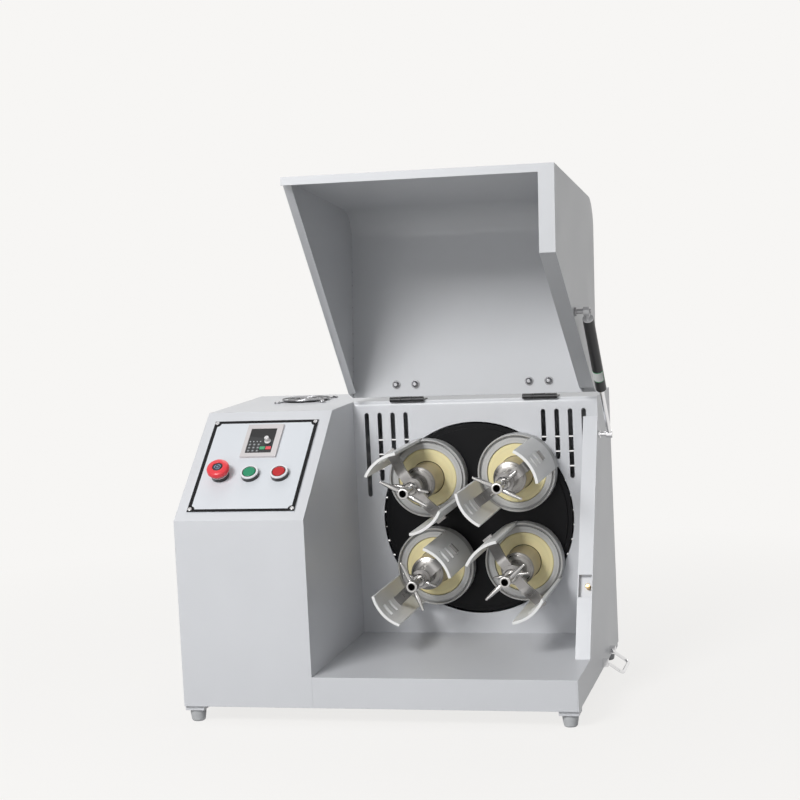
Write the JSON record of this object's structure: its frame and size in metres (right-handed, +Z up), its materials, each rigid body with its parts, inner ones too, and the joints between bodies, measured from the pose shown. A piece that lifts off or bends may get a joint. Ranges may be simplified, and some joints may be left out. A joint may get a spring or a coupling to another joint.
{
  "type": "horizontal planetary ball mill",
  "caption": "Bench ball mill with an upright planetary disc, clamped jars, a swing-up lid on a gas strut and a sloped control console.",
  "frame": {"origin": "on the floor, under the middle of the machine's overall box with the lid open as it stands", "axes": "+X to the machine's right seen from the front, +Y to its back, +Z up"},
  "size_m": [0.7216, 0.546, 0.8753],
  "materials": {
    "powder_coat": "light grey-white textured powder coat",
    "foot_rubber": "light grey moulded rubber",
    "black_plastic": "black moulded",
    "cast_housing": "grey casting",
    "gear_steel": "machined and oiled",
    "motor_paint": "grey-blue paint",
    "belt_rubber": "black, moulded",
    "plate_white": "white with a black border line",
    "keypad_case": "light grey case with a black face",
    "bezel_plastic": "dark moulded ring",
    "bright_plating": "plated",
    "black_steel": "black satin",
    "rod_chrome": "polished",
    "signal_red": "red",
    "signal_green": "green",
    "knob_grey": "light grey",
    "plunger_brass": "turned",
    "holder_aluminium": "satin, with bright turned edges",
    "jar_nylon": "cream",
    "bright_steel": "turned and polished"
  },
  "bodies": {
    "cabinet": {"console_shell": "powder_coat", "base_tray": "powder_coat", "rubber_feet": "foot_rubber", "right_wall": "powder_coat", "vent_panel": "powder_coat", "rear_cover": "powder_coat", "power_inlet": "black_plastic", "bearing_housing": "cast_housing", "sun_gear": "gear_steel", "motor": "motor_paint", "drive_belt": "belt_rubber", "control_plate": "plate_white", "keypad": "keypad_case", "button_bezels": "bezel_plastic", "fan_guard": "bright_plating", "fan_frame": "black_plastic", "hinge_deck_leaves": "black_steel", "body_hardware": "bright_plating"},
    "lid": {"lid_shell": "powder_coat", "hinge_lid_leaves": "black_steel", "lid_fasteners": "bright_plating"},
    "strut_cylinder": {"strut_cylinder": "black_steel"},
    "strut_rod": {"strut_rod": "rod_chrome"},
    "fan_rotor": {"fan_rotor": "black_plastic"},
    "estop_head": {"estop_head": "signal_red"},
    "start_cap": {"start_cap": "signal_green"},
    "stop_cap": {"stop_cap": "signal_red"},
    "speed_knob": {"speed_knob": "knob_grey"},
    "green_key": {"green_key": "signal_green"},
    "red_key": {"red_key": "signal_red"},
    "interlock_plunger": {"interlock_plunger": "plunger_brass"},
    "bail_right": {"bail_right": "bright_plating"},
    "bail_left": {"bail_left": "bright_plating"},
    "carrier": {"carrier_disc": "black_steel", "drive_shaft": "gear_steel"},
    "motor_pulley": {"motor_pulley": "gear_steel"},
    "holder_1": {"holder_1": "holder_aluminium", "jar_1": "jar_nylon", "clamp_bar_1": "bright_steel"},
    "pressure_disc_1": {"pressure_disc_1": "bright_steel"},
    "lever_screw_1": {"lever_screw_1": "bright_steel"},
    "lock_nut_1": {"lock_nut_1": "bright_steel"},
    "holder_2": {"holder_2": "holder_aluminium", "jar_2": "jar_nylon", "clamp_bar_2": "bright_steel"},
    "pressure_disc_2": {"pressure_disc_2": "bright_steel"},
    "lever_screw_2": {"lever_screw_2": "bright_steel"},
    "lock_nut_2": {"lock_nut_2": "bright_steel"},
    "holder_3": {"holder_3": "holder_aluminium", "jar_3": "jar_nylon", "clamp_bar_3": "bright_steel"},
    "pressure_disc_3": {"pressure_disc_3": "bright_steel"},
    "lever_screw_3": {"lever_screw_3": "bright_steel"},
    "lock_nut_3": {"lock_nut_3": "bright_steel"},
    "holder_4": {"holder_4": "holder_aluminium", "jar_4": "jar_nylon", "clamp_bar_4": "bright_steel"},
    "pressure_disc_4": {"pressure_disc_4": "bright_steel"},
    "lever_screw_4": {"lever_screw_4": "bright_steel"},
    "lock_nut_4": {"lock_nut_4": "bright_steel"}
  },
  "joints": [
    {"name": "lid_hinge", "type": "hinge", "parent": "cabinet", "child": "lid", "pos_m": [0.11, 0.10701, 0.4903], "axis": [1, 0, 0], "range_deg": [0, 98]},
    {"name": "strut_upper_pivot", "type": "hinge", "parent": "lid", "child": "strut_cylinder", "pos_m": [0.344, -0.10605, 0.64344], "axis": [1, 0, 0], "range_deg": [-1, 2]},
    {"name": "strut_slide", "type": "slide", "parent": "strut_cylinder", "child": "strut_rod", "axis": [0, -0.6983, 0.7158], "range_m": [0, 0.1021]},
    {"name": "carrier_spin", "type": "hinge", "parent": "cabinet", "child": "carrier", "pos_m": [0.11, 0.10901, 0.281], "axis": [0, 1, 0], "continuous": true},
    {"name": "motor_spin", "type": "hinge", "parent": "cabinet", "child": "motor_pulley", "pos_m": [-0.215, 0.23601, 0.113], "axis": [0, 1, 0], "continuous": true},
    {"name": "fan_spin", "type": "hinge", "parent": "cabinet", "child": "fan_rotor", "pos_m": [-0.205, 0.16101, 0.473], "axis": [0, 0, 1], "continuous": true},
    {"name": "estop_push", "type": "slide", "parent": "cabinet", "child": "estop_head", "axis": [0, 0.6101, -0.7923], "range_m": [0, 0.004]},
    {"name": "start_push", "type": "slide", "parent": "cabinet", "child": "start_cap", "axis": [0, 0.6101, -0.7923], "range_m": [0, 0.0025], "stiffness_N_per_m": 600, "springref_m": -0.001},
    {"name": "stop_push", "type": "slide", "parent": "cabinet", "child": "stop_cap", "axis": [0, 0.6101, -0.7923], "range_m": [0, 0.0025], "stiffness_N_per_m": 600, "springref_m": -0.001},
    {"name": "speed_turn", "type": "hinge", "parent": "cabinet", "child": "speed_knob", "pos_m": [-0.201, -0.0851, 0.44095], "axis": [0, -0.6101, 0.7923], "range_deg": [-150, 120]},
    {"name": "green_push", "type": "slide", "parent": "cabinet", "child": "green_key", "axis": [0, 0.6101, -0.7923], "range_m": [0, 0.0008], "stiffness_N_per_m": 400, "springref_m": -0.0005},
    {"name": "red_push", "type": "slide", "parent": "cabinet", "child": "red_key", "axis": [0, 0.6101, -0.7923], "range_m": [0, 0.0008], "stiffness_N_per_m": 400, "springref_m": -0.0005},
    {"name": "interlock_push", "type": "slide", "parent": "cabinet", "child": "interlock_plunger", "axis": [0, 0.8877, -0.4604], "range_m": [0, 0.002], "stiffness_N_per_m": 300, "springref_m": -0.002},
    {"name": "bail_right_swing", "type": "hinge", "parent": "cabinet", "child": "bail_right", "pos_m": [0.33, 0.10101, 0.04], "axis": [0, -1, 0], "range_deg": [0, 115]},
    {"name": "bail_left_swing", "type": "hinge", "parent": "cabinet", "child": "bail_left", "pos_m": [-0.33, 0.10101, 0.04], "axis": [0, 1, 0], "range_deg": [0, 115]},
    {"name": "holder_1_spin", "type": "hinge", "parent": "carrier", "child": "holder_1", "pos_m": [0.02813, 0.10901, 0.35446], "axis": [0, 1, 0], "continuous": true},
    {"name": "pressure_1_slide", "type": "slide", "parent": "holder_1", "child": "pressure_disc_1", "axis": [0, -1, 0], "range_m": [0, 0.012]},
    {"name": "lever_1_turn", "type": "hinge", "parent": "pressure_disc_1", "child": "lever_screw_1", "pos_m": [0.02813, -0.04099, 0.35446], "axis": [0, -1, 0], "range_deg": [0, 1080]},
    {"name": "lock_1_turn", "type": "hinge", "parent": "holder_1", "child": "lock_nut_1", "pos_m": [0.02813, -0.03699, 0.35446], "axis": [0, -1, 0], "range_deg": [0, 90]},
    {"name": "holder_2_spin", "type": "hinge", "parent": "carrier", "child": "holder_2", "pos_m": [0.18502, 0.10901, 0.36145], "axis": [0, 1, 0], "continuous": true},
    {"name": "pressure_2_slide", "type": "slide", "parent": "holder_2", "child": "pressure_disc_2", "axis": [0, -1, 0], "range_m": [0, 0.012]},
    {"name": "lever_2_turn", "type": "hinge", "parent": "pressure_disc_2", "child": "lever_screw_2", "pos_m": [0.18502, -0.04099, 0.36145], "axis": [0, -1, 0], "range_deg": [0, 1080]},
    {"name": "lock_2_turn", "type": "hinge", "parent": "holder_2", "child": "lock_nut_2", "pos_m": [0.18502, -0.03699, 0.36145], "axis": [0, -1, 0], "range_deg": [0, 90]},
    {"name": "holder_3_spin", "type": "hinge", "parent": "carrier", "child": "holder_3", "pos_m": [0.03569, 0.10901, 0.1999], "axis": [0, 1, 0], "continuous": true},
    {"name": "pressure_3_slide", "type": "slide", "parent": "holder_3", "child": "pressure_disc_3", "axis": [0, -1, 0], "range_m": [0, 0.012]},
    {"name": "lever_3_turn", "type": "hinge", "parent": "pressure_disc_3", "child": "lever_screw_3", "pos_m": [0.03569, -0.04099, 0.1999], "axis": [0, -1, 0], "range_deg": [0, 1080]},
    {"name": "lock_3_turn", "type": "hinge", "parent": "holder_3", "child": "lock_nut_3", "pos_m": [0.03569, -0.03699, 0.1999], "axis": [0, -1, 0], "range_deg": [0, 90]},
    {"name": "holder_4_spin", "type": "hinge", "parent": "carrier", "child": "holder_4", "pos_m": [0.19162, 0.10901, 0.20725], "axis": [0, 1, 0], "continuous": true},
    {"name": "pressure_4_slide", "type": "slide", "parent": "holder_4", "child": "pressure_disc_4", "axis": [0, -1, 0], "range_m": [0, 0.012]},
    {"name": "lever_4_turn", "type": "hinge", "parent": "pressure_disc_4", "child": "lever_screw_4", "pos_m": [0.19162, -0.04099, 0.20725], "axis": [0, -1, 0], "range_deg": [0, 1080]},
    {"name": "lock_4_turn", "type": "hinge", "parent": "holder_4", "child": "lock_nut_4", "pos_m": [0.19162, -0.03699, 0.20725], "axis": [0, -1, 0], "range_deg": [0, 90]}
  ],
  "couplings": [
    {"joint": "strut_upper_pivot", "follows": "lid_hinge", "ratio": 0.007986},
    {"joint": "strut_slide", "follows": "lid_hinge", "m_per_rad": 0.059383},
    {"joint": "motor_spin", "follows": "carrier_spin", "ratio": 3},
    {"joint": "holder_1_spin", "follows": "carrier_spin", "ratio": 2.1429},
    {"joint": "lever_1_turn", "follows": "pressure_1_slide", "rad_per_m": 1570.8},
    {"joint": "holder_2_spin", "follows": "carrier_spin", "ratio": 2.1429},
    {"joint": "lever_2_turn", "follows": "pressure_2_slide", "rad_per_m": 1570.8},
    {"joint": "holder_3_spin", "follows": "carrier_spin", "ratio": 2.1429},
    {"joint": "lever_3_turn", "follows": "pressure_3_slide", "rad_per_m": 1570.8},
    {"joint": "holder_4_spin", "follows": "carrier_spin", "ratio": 2.1429},
    {"joint": "lever_4_turn", "follows": "pressure_4_slide", "rad_per_m": 1570.8}
  ]
}
